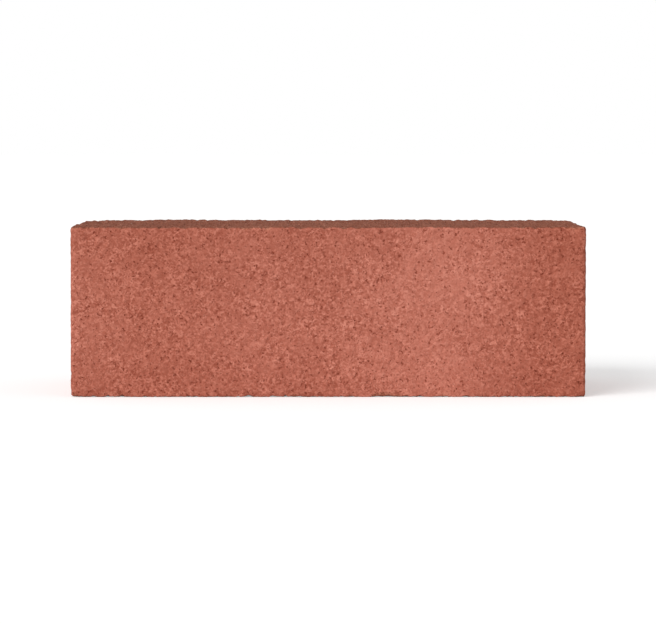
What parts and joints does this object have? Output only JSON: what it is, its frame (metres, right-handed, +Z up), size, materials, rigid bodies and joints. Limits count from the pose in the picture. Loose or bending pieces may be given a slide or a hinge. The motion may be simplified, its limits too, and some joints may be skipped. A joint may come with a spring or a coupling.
{
  "type": "double bullnose brick",
  "caption": "Solid fired clay brick with a flat square front and rounded upright corners at the back, laid in mortar to cap walls, edge steps and soften corners.",
  "frame": {"origin": "centre of the lower bed face", "axes": "+X along the length, +Y from the flat stretcher face to the bullnosed one, +Z up from the lower bed to the upper bed"},
  "size_m": [0.23, 0.11, 0.076],
  "materials": {
    "fired_clay": "matte"
  },
  "bodies": {
    "root": {"double_bullnose_brick": "fired_clay"}
  },
  "joints": []
}
